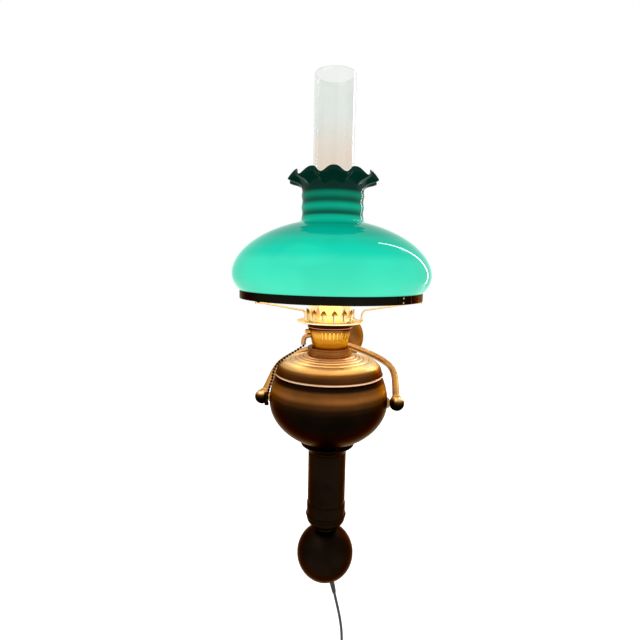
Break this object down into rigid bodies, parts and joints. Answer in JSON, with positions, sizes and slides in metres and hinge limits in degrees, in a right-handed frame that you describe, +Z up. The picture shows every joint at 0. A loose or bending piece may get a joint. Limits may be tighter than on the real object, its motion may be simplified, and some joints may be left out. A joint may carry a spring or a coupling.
{
  "type": "gimballed wall lamp",
  "caption": "Brass gimbal wall lamp with round fount, pointed burner crown, clear chimney, ruffled green glass shade, ball counterweight and a cord with plug.",
  "frame": {"origin": "centre of the wall plate's back face, which lies on the wall", "axes": "+Z up, +Y into the wall, +X to the right as seen from the room"},
  "size_m": [0.2548, 0.3054, 0.9537],
  "materials": {
    "aged_brass": "aged satin, brown in the hollows",
    "pale_brass": "satin, lightly tarnished",
    "gilt_brass": "bright satin",
    "bronze": "dark satin patina",
    "ring_brass": "blackened satin",
    "steel": "plain turned",
    "iron": "rough",
    "green_glass": "cased glass, glossy green outside over white",
    "clear_glass": "clear and glossy",
    "bulb_glass": "frosted",
    "porcelain": "unglazed",
    "dark_rubber": "matt",
    "cord_cover": "satin two-core flex",
    "plug_brass": "plain stamped"
  },
  "bodies": {
    "wall_bracket": {"wall_backplate": "aged_brass", "wall_screw_1": "steel", "wall_screw_2": "steel", "wall_screw_3": "steel", "wall_dome": "aged_brass", "wall_spindle": "steel", "dome_nut": "aged_brass", "swivel_washer": "aged_brass", "swivel_cap": "aged_brass"},
    "yoke": {"yoke_hub": "pale_brass", "yoke_arm_left": "pale_brass", "yoke_arm_right": "pale_brass", "pivot_ball_left": "pale_brass", "pivot_ball_right": "pale_brass", "pivot_pin_left": "steel", "pivot_pin_right": "steel"},
    "lamp": {"fount_bowl": "aged_brass", "fount_top": "pale_brass", "fount_boss_left": "pale_brass", "fount_boss_right": "pale_brass", "fount_collar": "aged_brass", "burner_basket": "gilt_brass", "burner_gallery": "gilt_brass", "socket_stand": "aged_brass", "lamp_socket": "gilt_brass", "socket_liner": "porcelain", "bulb_cap": "steel", "bulb_glass": "bulb_glass", "switch_housing": "aged_brass", "chain_guide": "pale_brass", "shade_ring": "ring_brass", "shade_arm_1": "gilt_brass", "shade_arm_2": "gilt_brass", "shade_arm_3": "gilt_brass", "socket_nut": "steel", "centre_rod": "steel", "stem_spacer": "bronze", "stem_cup": "bronze", "stem_tube": "bronze", "stem_sleeve": "bronze", "stem_end": "bronze", "ball_shell": "bronze", "ballast": "iron", "cord_bushing": "dark_rubber", "cord_drop": "cord_cover", "cord_hank": "cord_cover", "hank_tie": "dark_rubber", "plug_body": "dark_rubber", "plug_blade_left": "plug_brass", "plug_blade_right": "plug_brass"},
    "shade": {"shade": "green_glass"},
    "chimney": {"chimney": "clear_glass"},
    "pull_chain": {"pull_chain": "bronze", "chain_bell": "bronze"}
  },
  "joints": [
    {"name": "gimbal_roll", "type": "hinge", "parent": "wall_bracket", "child": "yoke", "pos_m": [0, -0.0523, 0], "axis": [0, 1, 0], "range_deg": [-30, 30]},
    {"name": "gimbal_pitch", "type": "hinge", "parent": "yoke", "child": "lamp", "pos_m": [0, -0.178, -0.059], "axis": [1, 0, 0], "range_deg": [-10, 15]},
    {"name": "shade_lift", "type": "slide", "parent": "lamp", "child": "shade", "axis": [0, 0, 1], "range_m": [0, 0.27]},
    {"name": "chimney_lift", "type": "slide", "parent": "lamp", "child": "chimney", "axis": [0, 0, 1], "range_m": [0, 0.19]},
    {"name": "chain_pull", "type": "slide", "parent": "lamp", "child": "pull_chain", "axis": [-0.8829, 0, -0.4695], "range_m": [0, 0.006], "stiffness_N_per_m": 200, "springref_m": -0.004}
  ]
}
